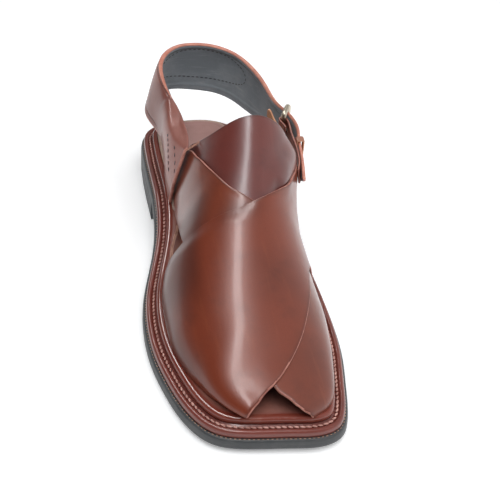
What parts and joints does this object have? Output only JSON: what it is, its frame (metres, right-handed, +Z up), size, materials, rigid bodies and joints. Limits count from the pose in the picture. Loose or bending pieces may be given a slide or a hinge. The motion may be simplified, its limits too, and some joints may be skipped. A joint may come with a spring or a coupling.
{
  "type": "peshawari chappal sandal",
  "caption": "Leather sandal with crossed front straps open at the toe, a tongue, a buckled heel strap and a low block heel.",
  "frame": {"origin": "on the floor under the middle of the bounding box", "axes": "-Y towards the toe, +Y towards the heel, +Z up from the floor; the outer side of the foot is towards -X and the inner side, with the buckle, towards +X"},
  "size_m": [0.1182, 0.3036, 0.0947],
  "materials": {
    "heel_lift": "satin black",
    "outsole": "satin black, glossy underneath",
    "midsole": "waxed red-brown edge with a rope stitch",
    "insole": "semi-gloss brown",
    "upper": "polished red-brown",
    "tongue": "polished dark brown",
    "heel_strap": "polished red-brown, grey lining",
    "buckle_holder": "polished red-brown",
    "strap_keeper": "natural tan",
    "buckle_metal": "satin pale brass"
  },
  "bodies": {
    "root": {"heel_lift": "heel_lift", "outsole": "outsole", "midsole": "midsole", "insole": "insole", "upper": "upper", "tongue": "tongue", "heel_strap": "heel_strap", "buckle_holder": "buckle_holder", "strap_keeper": "strap_keeper", "buckle_frame": "buckle_metal", "buckle_prong": "buckle_metal"}
  },
  "joints": []
}
